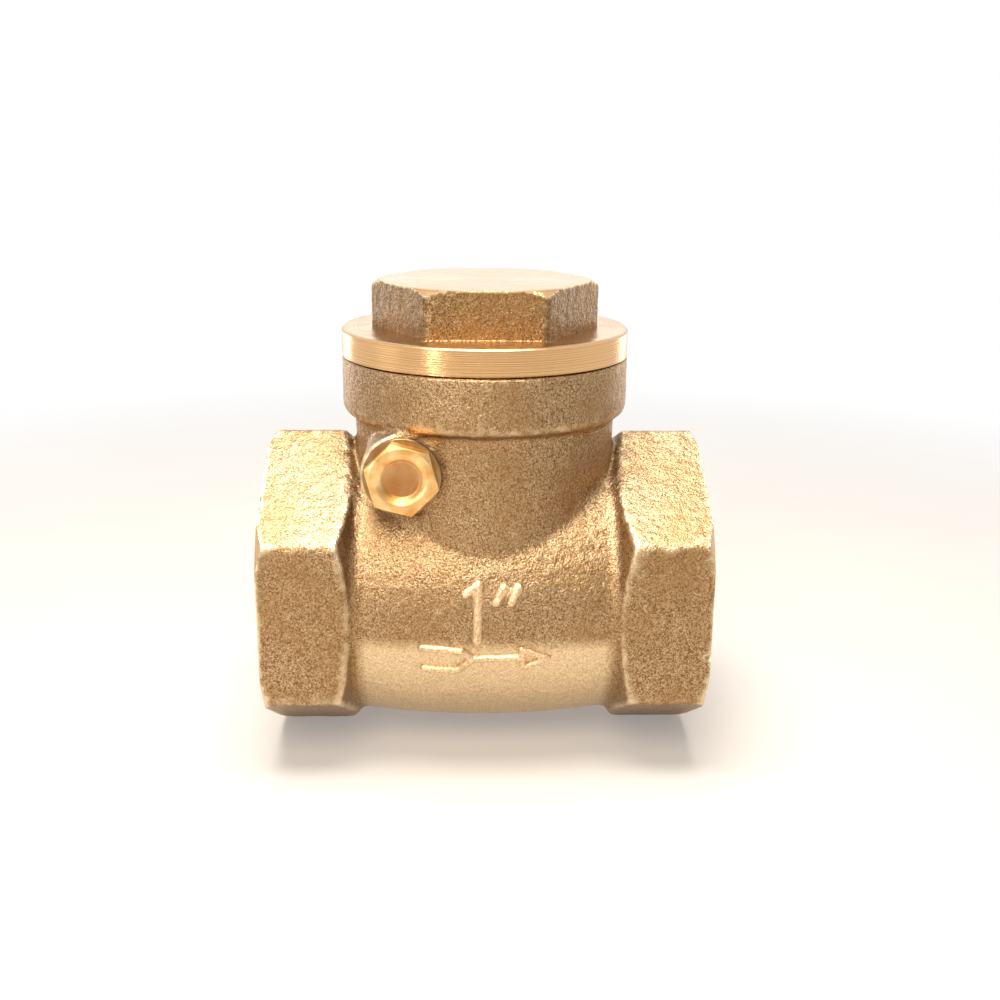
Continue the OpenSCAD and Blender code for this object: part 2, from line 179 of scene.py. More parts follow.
@dataclass(frozen=True)
class SandCastBrass:
    """Brass as it leaves the sand mould: matt, pitted by the sand's grains and uneven over a few millimetres.

    The grains' tops are painted bright, partly their own paler colour and partly a painted glint for the
    lamps that they catch, and the pits between them stay brown, so that it sparkles. Edges that rubbed
    against other castings are paler.
    Under the mould's joint the sand was finer, so the skin there is smoother; it is also painted lighter
    there, partly for the finer sand and partly as a painted reflection of the bright floor.
    """

    name: str = "sand_cast_brass"
    # partly the grains' own colour, partly a painted glint on their tops
    bright: str = "#D0B48C"
    pit: str = "#75502A"
    stain: str = "#967146"
    # also the top of the lighter blend painted below the joint, partly as a painted reflection of the floor
    rubbed: str = "#F7E3BC"
    grain_mm: float = 0.17
    crumb_mm: float = 0.34
    lump_mm: float = 1.3
    patch_mm: float = 9.0
    relief_mm: float = 0.07
    rub: float = 0.75
    joint_mm: float | None = None
    joint_blur_mm: float = 1.6
    # how far the skin below the joint is painted lighter: partly the finer sand, partly a painted reflection
    # of the bright floor
    fine_sand_reflection_weight: float = 0.8
    barrel_start_mm: tuple[float, float] = (13.0, 14.5)
    barrel_end_mm: tuple[float, float] = (47.5, 49.0)

    def material(self) -> Material:
        """Returns the finished material."""
        made, add = new_material(self.name)
        where = add("TexCoord", output="Object")
        grain = add("TexNoise", {
            "Vector": where, "Scale": per_metre(self.grain_mm), "Detail": 2.0, "Roughness": 0.55})
        crumbs = add("TexVoronoi", {"Vector": where, "Scale": per_metre(self.crumb_mm), "Smoothness": 0.5},
                     feature="SMOOTH_F1")
        lumps, patches = (add("TexNoise", {"Vector": where, "Scale": per_metre(mm), "Detail": detail})
                          for mm, detail in ((self.lump_mm, 2.0), (self.patch_mm, 3.0)))
        raised = add("Math", {0: crumbs, 1: -0.25, 2: grain}, operation="MULTIPLY_ADD")
        # Painted glint: the grains' tops are mixed towards the bright colour, partly their own paler colour
        # and partly standing in for the lamps' glints; the pits keep the brown.
        grain_and_glint = add("MapRange", {0: raised, 1: 0.22, 2: 0.6})
        colour = add("Mix", {0: grain_and_glint, 6: linear(self.pit), 7: linear(self.bright)}, **COLOURS)
        tone = add("MapRange", {0: patches, 1: 0.42, 2: 0.66, 4: 0.55})
        colour = add("Mix", {0: tone, 6: colour, 7: linear(self.stain)}, **COLOURS)
        relief = depth = self.relief_mm * MM
        if self.joint_mm is not None:
            # Painted reflection: below the joint the colour is mixed towards a lighter blend of the bright
            # and rubbed colours, partly for the finer sand and partly standing in for the bright floor's
            # reflection. The relief is shallower there too.
            fine_sand_and_reflection = self.below_joint(add, where, lumps)
            smooth = add("Mix", {0: grain_and_glint, 6: linear(self.bright), 7: linear(self.rubbed)}, **COLOURS)
            part = add("Math", {0: fine_sand_and_reflection, 1: self.fine_sand_reflection_weight}, operation="MULTIPLY")
            colour = add("Mix", {0: part, 6: colour, 7: smooth}, **COLOURS)
            depth = add("MapRange", {0: fine_sand_and_reflection, 3: relief, 4: relief * 0.35})
        edge = add("Attribute", output="Fac", attribute_name=WEAR)
        scuffs = add("Math", {0: lumps, 1: 0.16, 2: edge}, operation="MULTIPLY_ADD")
        worn = add("MapRange", {0: scuffs, 1: 0.105, 2: 0.22, 4: self.rub})
        colour = add("Mix", {0: worn, 6: colour, 7: linear(self.rubbed)}, **COLOURS)
        low = add("Bump", {"Height": lumps, "Strength": 0.8, "Distance": 4 * relief})
        middle = add("Bump", {"Height": crumbs, "Strength": 0.6, "Distance": depth, "Normal": low},
                     invert=True)
        fine = add("Bump", {"Height": grain, "Strength": 0.95, "Distance": depth, "Normal": middle})
        rough = add("MapRange", {0: grain, 1: 0.3, 2: 0.7, 3: 0.5, 4: 0.36})
        show(add, {"Base Color": colour, "Metallic": 1.0, "Normal": fine, "Roughness": rough})
        return made

    def below_joint(self, add: Adder, where: NodeSocket,
                    lumps: NodeSocket) -> NodeSocket:
        """Finds the part of the barrel that was cast in the mould's lower half.

        Args:
            add: adds a node to the material.
            where: the object coordinates.
            lumps: the noise that makes the joint's edge wander.

        Returns:
            A socket that is 1 below the joint, between the hexagons, and 0 elsewhere.
        """
        axes = add("SeparateXYZ", {0: where}).node.outputs
        wander = add("Math", {0: lumps, 1: self.joint_blur_mm * MM, 2: axes["Z"]}, operation="MULTIPLY_ADD")
        low = add("MapRange", {0: wander, 1: (self.joint_mm - 0.6) * MM,
                               2: (self.joint_mm + self.joint_blur_mm) * MM, 3: 1.0, 4: 0.0})
        start, end = ([mm * MM for mm in ramp] for ramp in (self.barrel_start_mm, self.barrel_end_mm))
        inward = add("MapRange", {0: axes["X"], 1: start[0], 2: start[1]})
        outward = add("MapRange", {0: axes["X"], 1: end[0], 2: end[1], 3: 1.0, 4: 0.0})
        between = add("Math", {0: inward, 1: outward}, operation="MULTIPLY")
        return add("Math", {0: low, 1: between}, operation="MULTIPLY")


@dataclass(frozen=True)
class TurnedBrass:
    """Brass cut on a lathe: bright, with fine rings about the axis that it was spun on.

    The tool's rings are about 0.1 mm apart. They are drawn coarser, so that they show, and they smear the
    lamps into a streak across them.
    """

    lathe: Lathe
    bright: str = "#EBC18C"
    dark: str = "#CC9860"
    ring_mm: float = 0.14
    smear_mm: float = 2.52
    relief_mm: float = 0.03

    def material(self) -> Material:
        """Returns the finished material."""
        made, add = new_material("turned_brass_" + self.lathe.name.lower())
        where = add("TexCoord", output="Object")
        radius, along = from_axis(add, where, self.lathe)
        track = add("CombineXYZ", {0: radius, 1: along})
        rings = add("TexNoise", {"Vector": track, "Scale": per_metre(self.ring_mm), "Detail": 2.0,
                                 "Roughness": 0.6}, noise_dimensions="2D")
        smears = add("TexNoise", {"Vector": where, "Scale": per_metre(self.smear_mm), "Detail": 2.0})
        tint = add("MapRange", {0: rings, 1: 0.25, 2: 0.7})
        show(add, {
            "Base Color": add("Mix", {0: tint, 6: linear(self.dark), 7: linear(self.bright)}, **COLOURS),
            "Metallic": 1.0,
            "Normal": add("Bump", {"Height": rings, "Strength": 0.8, "Distance": self.relief_mm * MM}),
            "Roughness": add("MapRange", {0: smears, 1: 0.3, 2: 0.7, 3: 0.16, 4: 0.26})})
        return made


@dataclass(frozen=True)
class PolishedBrass:
    """Free-cutting brass, machined and tumbled: yellow, smooth, with soft smears and small scratches.

    The dish pressed in its face is painted darker and redder, a painted shade in its hollow, and a painted
    shadow darkens the collar and all that lies behind it along the plug's axis.
    """

    name: str = "tumbled_yellow_brass"
    bright: str = "#F3CE90"
    dark: str = "#D39C56"
    dish_shade: str = "#985A32"
    collar_shadow: str = "#5A3A20"
    smear_mm: float = 2.2
    scratch_mm: float = 0.4
    relief_mm: float = 0.03
    dish_mm: tuple[float, float] = (2.7, 3.5)
    dish_floor_mm: float = 18.4
    face_mm: tuple[float, float] = (19.05, 19.5)
    # stations along the plug's axis over which the painted shadow under the head fades out
    collar_shadow_mm: tuple[float, float] = (17.8, 18.25)

    def material(self) -> Material:
        """Returns the finished material."""
        made, add = new_material(self.name)
        where = add("TexCoord", output="Object")
        smears, scratches = (add("TexNoise", {"Vector": where, "Scale": per_metre(mm), "Detail": detail})
                             for mm, detail in ((self.smear_mm, 3.0), (self.scratch_mm, 2.0)))
        tint = add("MapRange", {0: smears, 1: 0.35, 2: 0.65})
        colour = add("Mix", {0: tint, 6: linear(self.bright), 7: linear(self.dark)}, **COLOURS)
        radius, along = from_axis(add, where, Lathe.PLUG)
        face, dish, foot = ([mm * MM for mm in ramp] for ramp in (self.face_mm, self.dish_mm, self.collar_shadow_mm))
        # Painted shade: the dish's hollow is painted darker and redder, fading out towards the face.
        skin = add("MapRange", {0: along, 1: face[0], 2: face[1], 3: 0.75, 4: 0.0})
        inside = add("MapRange", {0: radius, 1: dish[0], 2: dish[1], 3: 1.0, 4: 0.0})
        outer = add("Math", {0: along, 1: self.dish_floor_mm * MM}, operation="GREATER_THAN")
        held = add("Math", {0: inside, 1: outer}, operation="MULTIPLY")
        both = add("Math", {0: skin, 1: held}, operation="MULTIPLY")
        colour = add("Mix", {0: both, 6: colour, 7: linear(self.dish_shade)}, **COLOURS)
        # Painted shadow: darker on the collar and on everything behind it along the plug's axis, fading out
        # over the foot of the head.
        collar_shadow_mask = add("MapRange", {0: along, 1: foot[0], 2: foot[1], 3: 0.85, 4: 0.0})
        show(add, {
            "Base Color": add("Mix", {0: collar_shadow_mask, 6: colour, 7: linear(self.collar_shadow)}, **COLOURS),
            "Metallic": 1.0,
            "Normal": add("Bump", {"Height": scratches, "Strength": 0.25, "Distance": self.relief_mm * MM}),
            "Roughness": add("MapRange", {0: smears, 1: 0.3, 2: 0.7, 3: 0.3, 4: 0.44})})
        return made


@dataclass(frozen=True)
class MouldedRubber:
    """Nitrile rubber pressed in a mould: near black, dull, with a faint bloom and fine specks."""

    name: str = "moulded_nitrile_rubber"
    black: str = "#1D1C1B"
    bloom: str = "#34322F"
    bloom_mm: float = 4.0
    speck_mm: float = 0.25
    relief_mm: float = 0.03

    def material(self) -> Material:
        """Returns the finished material."""
        made, add = new_material(self.name)
        where = add("TexCoord", output="Object")
        haze = add("TexNoise", {"Vector": where, "Scale": per_metre(self.bloom_mm), "Detail": 3.0})
        specks = add("TexNoise", {"Vector": where, "Scale": per_metre(self.speck_mm), "Detail": 2.0})
        tint = add("MapRange", {0: haze, 1: 0.4, 2: 0.7})
        show(add, {
            "Base Color": add("Mix", {0: tint, 6: linear(self.black), 7: linear(self.bloom)}, **COLOURS),
            "IOR": 1.52,
            "Normal": add("Bump", {"Height": specks, "Strength": 0.3, "Distance": self.relief_mm * MM}),
            "Roughness": add("MapRange", {0: haze, 1: 0.3, 2: 0.7, 3: 0.55, 4: 0.75})})
        return made


@dataclass(frozen=True)
class PressedFibre:
    """Vulcanised fibre sheet, stamped to a washer: red-brown and dull, with short pale fibres."""

    name: str = "vulcanised_fibre"
    red: str = "#7E4029"
    pale: str = "#A2664A"
    fibre_mm: float = 0.3
    relief_mm: float = 0.03

    def material(self) -> Material:
        """Returns the finished material."""
        made, add = new_material(self.name)
        where = add("TexCoord", output="Object")
        strands = add("TexNoise", {
            "Vector": where, "Scale": per_metre(self.fibre_mm), "Detail": 4.0, "Roughness": 0.7})
        tint = add("MapRange", {0: strands, 1: 0.4, 2: 0.7})
        show(add, {
            "Base Color": add("Mix", {0: tint, 6: linear(self.red), 7: linear(self.pale)}, **COLOURS),
            "IOR": 1.53,
            "Normal": add("Bump", {"Height": strands, "Strength": 0.4, "Distance": self.relief_mm * MM}),
            "Roughness": 0.7})
        return made


def new_object(name: str, data: Any) -> Object:
    """Makes an object and links it to the scene.

    Args:
        name: the object's name.
        data: its mesh, lamp or camera.

    Returns:
        The new object.
    """
    made = bpy.data.objects.new(name, data)
    bpy.context.scene.collection.objects.link(made)
    return made


def to_object(shape: BMesh, name: str) -> Object:
    """Puts a bmesh in a new object and frees it.

    Args:
        shape: the bmesh, in millimetres.
        name: the object's name.

    Returns:
        The new object.
    """
    mesh = bpy.data.meshes.new(name)
    shape.to_mesh(mesh)
    shape.free()
    return new_object(name, mesh)


def discard(*objects: Object) -> None:
    """Removes helper objects with their meshes.

    Args:
        objects: the helpers.
    """
    for helper in objects:
        mesh = helper.data
        bpy.data.objects.remove(helper)
        bpy.data.meshes.remove(mesh)


def settle(target: Object) -> None:
    """Applies every modifier on an object.

    Args:
        target: the object.
    """
    graph = bpy.context.evaluated_depsgraph_get()
    mesh = bpy.data.meshes.new_from_object(target.evaluated_get(graph))
    old = target.data
    target.modifiers.clear()
    target.data = mesh
    bpy.data.meshes.remove(old)


def carve(target: Object, tool: Object, how: Solver) -> None:
    """Cuts or joins one closed mesh with another and discards the tool.

    Args:
        target: the object that is changed.
        tool: the object that cuts it, joins it or keeps what it covers.
        how: the operation.
    """
    step = target.modifiers.new(how.value, "BOOLEAN")
    step.operation = how.value
    step.solver = "MANIFOLD"
    step.object = tool
    settle(target)
    discard(tool)


def fuse(pieces: Sequence[Object], name: str, voxel_mm: float) -> Object:
    """Makes one skin of overlapping closed meshes, as even quads.

    Args:
        pieces: the objects that hold them, which are discarded.
        name: the new object's name.
        voxel_mm: the size of the quads.

    Returns:
        The new object.
    """
    shape = bmesh.new()
    for piece in pieces:
        shape.from_mesh(piece.data)
    discard(*pieces)
    skin = to_object(shape, name)
    step = skin.modifiers.new("skin", "REMESH")
    step.mode = "VOXEL"
    step.voxel_size = voxel_mm
    settle(skin)
    return skin


def corner_radius(flats: float) -> float:
    """Returns the distance of a hexagon's sharp corners from its centre, by its size across flats."""
    return flats / 2 / math.cos(math.pi / 6)


def prism(sides: int, radius: float, height: float, base: float = 0.0, turn: float = 0.0) -> BMesh:
    """Makes an upright prism with a corner on the Y axis.

    Args:
        sides: how many sides it has.
        radius: the distance of its corners from the Z axis.
        height: its height.
        base: the height at which it starts.
        turn: how far it is turned about the Z axis, in degrees.

    Returns:
        The prism, as a closed bmesh.
    """
    shape = bmesh.new()
    bmesh.ops.create_circle(shape, cap_ends=True, segments=sides, radius=radius)
    raised = bmesh.ops.extrude_face_region(shape, geom=shape.faces[:])
    corners = [part for part in raised["geom"] if isinstance(part, BMVert)]
    bmesh.ops.translate(shape, verts=corners, vec=(0, 0, height))
    bmesh.ops.translate(shape, verts=shape.verts[:], vec=(0, 0, base))
    bmesh.ops.recalc_face_normals(shape, faces=shape.faces[:])
    if turn:
        bmesh.ops.rotate(shape, verts=shape.verts[:], cent=(0, 0, 0),
                         matrix=Matrix.Rotation(math.radians(turn), 3, "Z"))
    return shape


def round_edges(shape: BMesh, edges: Iterable[BMEdge], radius: float,
                steps: int = 4) -> BMesh:
    """Rounds edges of a bmesh.

    Args:
        shape: the bmesh.
        edges: the edges to round.
        radius: how far the rounding reaches from each edge.
        steps: how many facets it has.

    Returns:
        The same bmesh.
    """
    bmesh.ops.bevel(shape, geom=list(edges), offset=radius, segments=steps, profile=0.5, affect="EDGES",
                    material=-1, clamp_overlap=True)
    return shape


def round_corners(shape: BMesh, radius: float) -> BMesh:
    """Rounds the upright corners of a hexagonal prism.

    Args:
        shape: the prism.
        radius: the radius of its corners.

    Returns:
        The same bmesh.
    """
    upright = [e for e in shape.edges if abs(e.verts[0].co.z - e.verts[1].co.z) > 0.9 * e.calc_length()]
    return round_edges(shape, upright, radius * math.tan(math.pi / 6))


def ease(shape: BMesh, width: float, steps: int = 3, sharper_than: float = 30.0) -> BMesh:
    """Rounds every edge that is sharper than an angle.

    Args:
        shape: the bmesh.
        width: how far the rounding reaches from each edge.
        steps: how many facets it has.
        sharper_than: the angle in degrees.

    Returns:
        The same bmesh.
    """
    limit = math.radians(sharper_than)
    sharp = [e for e in shape.edges if e.is_manifold and e.calc_face_angle() > limit]
    return round_edges(shape, sharp, width, steps)


def relax(shape: BMesh, passes: int, only: Callable[[Vector], bool] | None = None) -> None:
    """Smooths the points of a bmesh.

    Args:
        shape: the bmesh.
        passes: how many times.
        only: which points, by their place. All of them without it.
    """
    chosen = [v for v in shape.verts if only is None or only(v.co)]
    for _ in range(passes):
        bmesh.ops.smooth_vert(shape, verts=chosen, factor=0.5, use_axis_x=True, use_axis_y=True,
                              use_axis_z=True)


def sink(shape: BMesh, depth: Callable[[Vector], float]) -> None:
    """Leaves a skin uneven, as sand does.

    Args:
        shape: the skin.
        depth: how far a point sinks, by its place.
    """
    for v in shape.verts:
        v.co -= v.normal * depth(v.co)


def reshape(target: Object, change: Callable[[BMesh], None]) -> None:
    """Opens an object's mesh as a bmesh, changes it and puts it back.

    Args:
        target: the object.
        change: what to do with the bmesh.
    """
    shape = bmesh.new()
    shape.from_mesh(target.data)
    change(shape)
    shape.to_mesh(target.data)
    shape.free()


def mark_wear(shape: BMesh) -> None:
    """Stores how far each point stands out from its neighbours, for the finish to rub the edges bright.

    Args:
        shape: the bmesh that gets the layer.
    """
    layer = shape.verts.layers.float.new(WEAR)
    for v in shape.verts:
        around = [e.other_vert(v).co for e in v.link_edges]
        if around:
            middle = sum(around, Vector()) / len(around)
            spread = sum((c - v.co).length for c in around) / len(around)
            v[layer] = max(0.0, (v.co - middle).dot(v.normal) / max(spread, 1e-6))
    for _ in range(2):
        blurred = [(v[layer] + sum(e.other_vert(v)[layer] for e in v.link_edges)) / (1 + len(v.link_edges))
                   for v in shape.verts]
        for v, value in zip(shape.verts, blurred):
            v[layer] = value


def revolve(outline: Outline, steps: int = 160) -> BMesh:
    """Spins an outline about the Z axis.

    Args:
        outline: points as distance from the axis and height. It is closed from its last point to its first.
        steps: how many facets a full turn has.

    Returns:
        The turned solid, as a closed bmesh.
    """
    shape = bmesh.new()
    corners = [shape.verts.new((radius, 0.0, height)) for radius, height in outline]
    edges = [shape.edges.new(pair) for pair in zip(corners, corners[1:] + corners[:1])]
    bmesh.ops.spin(shape, geom=corners + edges, cent=(0, 0, 0), axis=(0, 0, 1), angle=2 * math.pi,
                   steps=steps, use_merge=True)
    bmesh.ops.remove_doubles(shape, verts=shape.verts[:], dist=1e-4)
    bmesh.ops.dissolve_degenerate(shape, edges=shape.edges[:], dist=1e-5)
    loose = [e for e in shape.edges if not e.link_faces]
    bmesh.ops.delete(shape, geom=loose, context="EDGES")
    bmesh.ops.recalc_face_normals(shape, faces=shape.faces[:])
    return shape


def laid(shape: BMesh, matrix: Matrix) -> BMesh:
    """Moves a bmesh by a matrix and returns it."""
    bmesh.ops.transform(shape, matrix=matrix, verts=shape.verts[:])
    return shape


def turned(outline: Outline, name: str, matrix: Matrix | None = None, steps: int = 160) -> Object:
    """Spins an outline to an object.

    Args:
        outline: points as distance from the axis and height.
        name: the object's name.
        matrix: where it is laid. It stays on the Z axis without it.
        steps: how many facets a full turn has.

    Returns:
        The turned solid, in its place.
    """
    shape = revolve(outline, steps)
    return to_object(laid(shape, matrix) if matrix else shape, name)


def washer(outer: float, inner: float, low: float, high: float, edge: float) -> BMesh:
    """Makes a flat ring about the Z axis with eased edges.

    Args:
        outer: its outer radius.
        inner: its inner radius.
        low: the height at which it starts.
        high: the height at which it ends.
        edge: the rounding of its edges.

    Returns:
        The ring, as a closed bmesh.
    """
    return ease(revolve([(inner, low), (outer, low), (outer, high), (inner, high)], 128), edge)


def cad_copy(node: str, name: str) -> Object:
    """Copies a solid of the frame, merged and in millimetres.

    Args:
        node: the solid's name.
        name: the copy's name.

    Returns:
        The copy, as a closed mesh.
    """
    shape = bmesh.new()
    shape.from_mesh(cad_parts[node].data)
    laid(shape, TO_MILLIMETRES)
    bmesh.ops.remove_doubles(shape, verts=shape.verts[:], dist=1e-3)
    return to_object(shape, name)


def place(piece: Object, body: str, materials: Sequence[Material],
          stands_for: str | None = None, smooth_angle: float = 35.0) -> None:
    """Finishes a piece: metres, shading, materials and the body that it moves with.

    Args:
        piece: the object, in millimetres.
        body: the frame's body that it rides on.
        materials: its materials, in the order of its slots.
        stands_for: the solid that it replaces.
        smooth_angle: the angle in degrees above which an edge stays sharp.
    """
    piece.data.transform(TO_METRES)
    kept = [face.material_index for face in piece.data.polygons]
    piece.data.materials.clear()
    for material in materials:
        piece.data.materials.append(material)
    piece.data.polygons.foreach_set("material_index", [i if i < len(materials) else 0 for i in kept])
    piece.data.shade_smooth()
    piece.data.set_sharp_from_angle(angle=math.radians(smooth_angle))
    even = piece.modifiers.new("even shading", "WEIGHTED_NORMAL")
    even.keep_sharp = True
    settle(piece)
    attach(piece, body)
    if stands_for:
        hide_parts(stands_for)
    LOG.info("%s: %d faces", piece.name, len(piece.data.polygons))


@dataclass
class CastBody:
    """The valve's casting: skinned as one rough form, then machined as the real one is."""

    length: float = 62.0
    flats: float = 40.0
    corner: float = 1.2
    flat_length: float = 12.4
    shoulder_lean: float = 1.5
    root: float = 1.5
    face_radius: float = 21.3
    face_chamfer: float = 1.05
    barrel_end: float = 19.1
    bulge: float = 1.2
    neck_foot: float = 17.64
    neck_top: float = 18.7
    ring_radius: float = 20.35
    ring_foot: float = 26.2
    ring_edge: float = 1.3
    joint_chamfer: float = 0.3
    boss_radius: float = 5.7
    boss_reach: float = 16.9
    rear_reach: float = 15.8
    junction_height: tuple[float, float] = (5.0, 21.0)
    junction_reach: tuple[float, float] = (15.0, 22.0)
    junction_bore: float = 25.0
    socket_radius: float = 17.7
    socket_depth: float = 13.6
    chamber_bore: float = 18.4
    chamber_neck: float = 16.5
    recess_radius: float = 19.0
    recess_floor: float = 26.7
    fill_bore: float = 17.6
    fill_stem: tuple[tuple[float, float], ...] = ((16.6, 0.0), (16.6, 25.5), (19.3, 29.5))
    tap_radius: float = 4.6
    tap_floor: float = 9.0
    nick: tuple[float, float, float] = (61.9, -20.3, -4.5)
    nick_radius: float = 0.75
    voxel: float = 0.42
    allowance: float = 2.0
    deep: float = 80.0
    clear: float = 30.0
    facets: int = 8

    @property
    def middle(self) -> float:
        """Distance of the cap's axis from the inlet mouth."""
        return self.length / 2

    @property
    def point_radius(self) -> float:
        """Distance of an end hexagon's sharp corner from the flow axis."""
        return corner_radius(self.flats)

    @property
    def face_slope(self) -> float:
        """How far the mouth's outer chamfer falls back for each millimetre outwards."""
        return self.face_chamfer / (self.point_radius - self.face_radius)

    def barrel_radius(self, x: float) -> float:
        """Returns the barrel's outer radius at a station along the flow."""
        half = self.middle - self.flat_length - self.root
        return self.barrel_end + self.bulge * (1 - ((x - self.middle) / half) ** 2)

    def hexagon(self, outlet: bool) -> Object:
        """Makes one hexagonal end, longer than the finished one by a machining allowance.

        Args:
            outlet: whether it is the outlet's.

        Returns:
            The end, as a closed mesh.
        """
        shape = prism(6, self.point_radius, self.flat_length + self.root + self.allowance, -self.allowance)
        end = to_object(laid(round_corners(shape, self.corner), ALONG_FLOW), "hexagon")
        flat = self.flats / 2
        outside = self.point_radius + 1
        run = self.shoulder_lean * (outside - flat) / (self.point_radius - flat)
        outline = [(0, -self.allowance - 1), (outside, -self.allowance - 1),
                   (outside, self.flat_length - run), (flat, self.flat_length)]
        for i in range(1, self.facets + 1):
            angle = math.pi / 2 * i / self.facets
            outline.append((flat - (flat - self.barrel_end) * math.sin(angle),
                            self.flat_length + self.root * (1 - math.cos(angle))))
        outline.append((0, self.flat_length + self.root))
        carve(end, turned(outline, "shoulder", ALONG_FLOW), Solver.KEEP)
        if outlet:
            end.data.transform(Matrix.Translation((self.length, 0, 0)) @ Matrix.Scale(-1, 4, (1, 0, 0)))
            end.data.flip_normals()
        return end

    def barrel(self) -> Object:
        """Makes the barrel, with its slight bulge."""
        steps = 3 * self.facets
        start = self.flat_length + self.root - 2
        span = self.length - 2 * start
        stations = [start + span * i / steps for i in range(steps + 1)]
        outline = [(0, start), *((self.barrel_radius(x), x) for x in stations), (0, start + span)]
        return turned(outline, "barrel", ALONG_FLOW)

    def neck(self) -> Object:
        """Makes the tapered neck and the ring that the cap closes on."""
        high = JOINT_Z + self.allowance
        outline = [(0, 0), (self.neck_foot, 0), (self.neck_top, self.ring_foot - 0.5)]
        for i in range(self.facets + 1):
            angle = math.pi / 2 * i / self.facets
            outline.append((self.ring_radius - self.ring_edge * (1 - math.sin(angle)),
                            self.ring_foot + self.ring_edge * (1 - math.cos(angle))))
        return turned([*outline, (self.ring_radius, high), (0, high)], "neck", UNDER_CAP)

    def boss(self, reach: float, matrix: Matrix) -> Object:
        """Makes one of the round bosses on the hinge pin's axis.

        Args:
            reach: how far it stands from the middle of the valve.
            matrix: where it is laid.

        Returns:
            The boss, as a closed mesh.
        """
        start = 6
        return to_object(laid(prism(64, self.boss_radius, reach - start, start), matrix), "boss")

    def in_junction(self, point: Vector) -> bool:
        """Tells whether a point lies where the neck runs down into the barrel.

        Args:
            point: its place.

        Returns:
            Whether it is in the junction.
        """
        reach = math.hypot(point.x - self.middle, point.y)
        spans = ((point.z, self.junction_height), (reach, self.junction_reach))
        inside = all(low < value < high for value, (low, high) in spans)
        return inside and math.hypot(point.y, point.z) < self.junction_bore

    def soften(self, shape: BMesh) -> None:
        """Rounds the cast edges, fills the junctions and leaves the skin uneven.

        Args:
            shape: the fused form.
        """
        relax(shape, 7, self.in_junction)
        relax(shape, 3)
        bmesh.ops.recalc_face_normals(shape, faces=shape.faces[:])
        sink(shape, lambda p: 0.03 + 0.04 * (noise.noise(p * 0.42) + 0.6 * noise.noise(p * 1.3)))

    def machine(self, skin: Object) -> None:
        """Turns the mouths and the joint face, and opens the hollows with the seat left standing.

        Args:
            skin: the rough form.
        """
        chip = bmesh.new()
        bmesh.ops.create_icosphere(chip, subdivisions=3, radius=self.nick_radius)
        bmesh.ops.scale(chip, vec=(1.3, 1.0, 0.5), verts=chip.verts[:])
        carve(skin, to_object(laid(chip, Matrix.Translation(self.nick)), "nick"), Solver.CUT)
        edge = JOINT_Z - self.joint_chamfer
        below = [(0, -self.deep), (self.deep, -self.deep), (self.deep, edge), (self.ring_radius + 0.01, edge),
                 (self.ring_radius - self.joint_chamfer, JOINT_Z), (0, JOINT_Z)]
        carve(skin, turned(below, "joint face", UNDER_CAP), Solver.KEEP)
        wide = self.point_radius + 3
        slope = self.face_slope * (wide - self.face_radius)
        between = [(0, 0), (self.face_radius, 0), (wide, slope), (wide, self.length - slope),
                   (self.face_radius, self.length), (0, self.length)]
        blank = turned(between, "mouth faces", ALONG_FLOW, 240)
        above = [(0, 0), (self.clear, 0), (self.clear, self.deep), (0, self.deep)]
        carve(blank, turned(above, "clear of neck", UNDER_CAP), Solver.JOIN)
        carve(skin, blank, Solver.KEEP)
        carve(skin, self.hollow(), Solver.CUT)
        reshape(skin, self.weld)

    def weld(self, shape: BMesh) -> None:
        """Merges the slivers that the cuts leave along their edges, and marks the wear.

        Args:
            shape: the machined casting.
        """
        bmesh.ops.remove_doubles(shape, verts=shape.verts[:], dist=0.01)
        bmesh.ops.dissolve_degenerate(shape, edges=shape.edges[:], dist=0.01)
        mark_wear(shape)

    def hollow(self) -> Object:
        """Makes the solid of everything that is open inside the casting.

        Returns:
            The hollow: a filling that reaches past the mouths, less the frame's own casting.
        """
        past = 3
        high = JOINT_Z + past
        along = [(0, -past), (self.fill_bore, -past), (self.fill_bore, self.length + past),
                 (0, self.length + past)]
        filling = turned(along, "filling", ALONG_FLOW)
        upward = [(0, 0), *self.fill_stem, (self.fill_stem[-1][0], high), (0, high)]
        carve(filling, turned(upward, "stem", UNDER_CAP), Solver.JOIN)
        tapped = prism(64, self.tap_radius, self.boss_reach + past - self.tap_floor, self.tap_floor)
        carve(filling, to_object(laid(tapped, ON_PLUG), "plug hole"), Solver.JOIN)
        carve(filling, cad_copy("body", "walls"), Solver.CUT)
        return filling

    def build(self) -> Object:
        """Builds the casting, in millimetres."""
        parts = [self.hexagon(False), self.hexagon(True), self.barrel(), self.neck(),
                 self.boss(self.boss_reach + 0.4, ON_PLUG), self.boss(self.rear_reach, BEHIND_PLUG)]
        skin = fuse(parts, "body_casting", self.voxel)
        reshape(skin, self.soften)
        self.machine(skin)
        return skin

    def dress(self, skin: Object, finishes: Sequence[Material]) -> None:
        """Gives the cast skin and the turned faces their finishes.

        Args:
            skin: the machined casting.
            finishes: as cast, turned about the flow, turned about the cap's axis, and as cast inside.
        """
        for face in skin.data.polygons:
            face.material_index = self.finish_of(face.center, face.normal)
        place(skin, "valve_body", finishes, "body")

